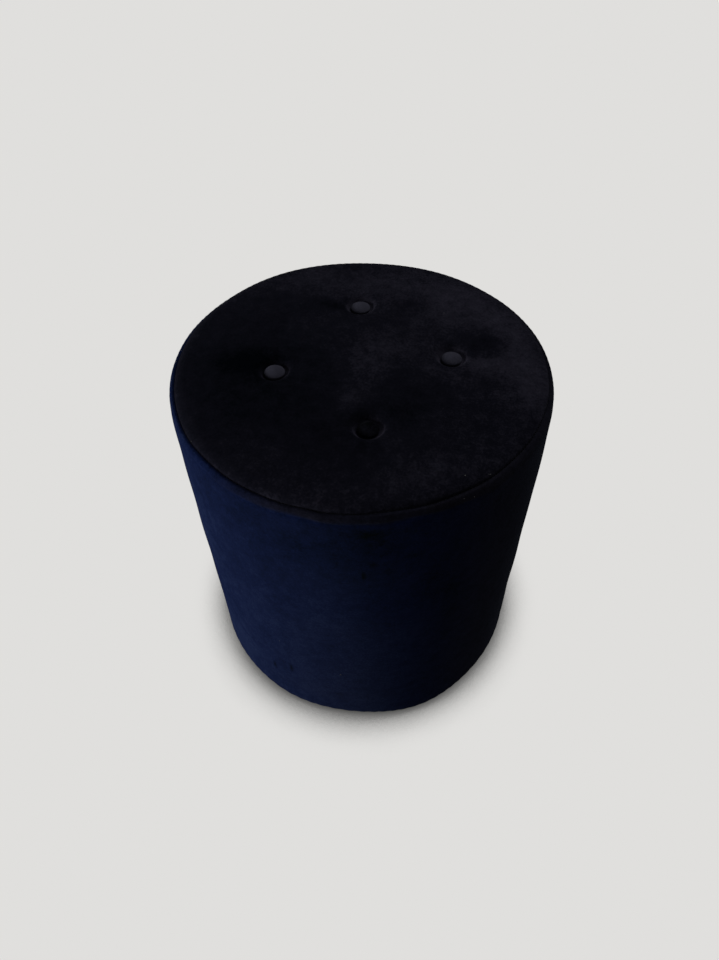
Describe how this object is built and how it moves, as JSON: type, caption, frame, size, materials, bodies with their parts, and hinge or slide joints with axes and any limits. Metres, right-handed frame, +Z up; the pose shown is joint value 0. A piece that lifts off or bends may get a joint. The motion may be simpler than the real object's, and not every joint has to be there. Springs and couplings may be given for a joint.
{
  "type": "tuffet",
  "caption": "Round drum tuffet, velvet covered, with a softly crowned tufted seat, a rounded seam at the rim and a flat base on low glides.",
  "frame": {"origin": "on the floor, under the middle of the drum", "axes": "+Z up through the seat, -Y towards the front as pictured, +X to the right of the picture"},
  "size_m": [0.3999, 0.4, 0.43],
  "materials": {
    "top_velvet": "short-pile velvet, near-black blue with a violet cast, mottled nap",
    "side_velvet": "short-pile velvet, dark navy, brushed nap",
    "button_velvet": "short-pile velvet pulled tight over the button",
    "sewing_thread": "polyester thread, satin",
    "twine": "waxed tufting twine",
    "wadding": "polyester wadding, matt",
    "foam": "open-cell upholstery foam, matt",
    "hardboard": "thin hardboard, matt",
    "plywood": "raw birch plywood",
    "timber": "planed softwood",
    "button_metal": "bare pressed aluminium",
    "screw_steel": "zinc-plated steel",
    "staple_steel": "galvanised wire",
    "dust_cloth": "black non-woven cloth, dimpled",
    "glide_plastic": "black polyethylene"
  },
  "bodies": {
    "root": {"top_cover": "top_velvet", "side_cover": "side_velvet", "button_cover_1": "button_velvet", "button_cover_2": "button_velvet", "button_cover_3": "button_velvet", "button_cover_4": "button_velvet", "seam_thread": "sewing_thread", "button_twine_1": "twine", "button_twine_2": "twine", "button_twine_3": "twine", "button_twine_4": "twine", "top_wadding": "wadding", "seat_foam": "foam", "side_foam": "foam", "drum_shell": "hardboard", "seat_board": "plywood", "base_board": "plywood", "post_1": "timber", "post_2": "timber", "post_3": "timber", "post_4": "timber", "post_5": "timber", "post_6": "timber", "twine_toggle_1": "timber", "twine_toggle_2": "timber", "twine_toggle_3": "timber", "twine_toggle_4": "timber", "button_shell_1": "button_metal", "button_shell_2": "button_metal", "button_shell_3": "button_metal", "button_shell_4": "button_metal", "button_back_1": "button_metal", "button_back_2": "button_metal", "button_back_3": "button_metal", "button_back_4": "button_metal", "seat_screws": "screw_steel", "base_screws": "screw_steel", "shell_staples": "staple_steel", "hem_staples": "staple_steel", "dust_cover_staples": "staple_steel", "glide_nails": "staple_steel", "dust_cover": "dust_cloth", "glide_1": "glide_plastic", "glide_2": "glide_plastic", "glide_3": "glide_plastic", "glide_4": "glide_plastic"}
  },
  "joints": []
}
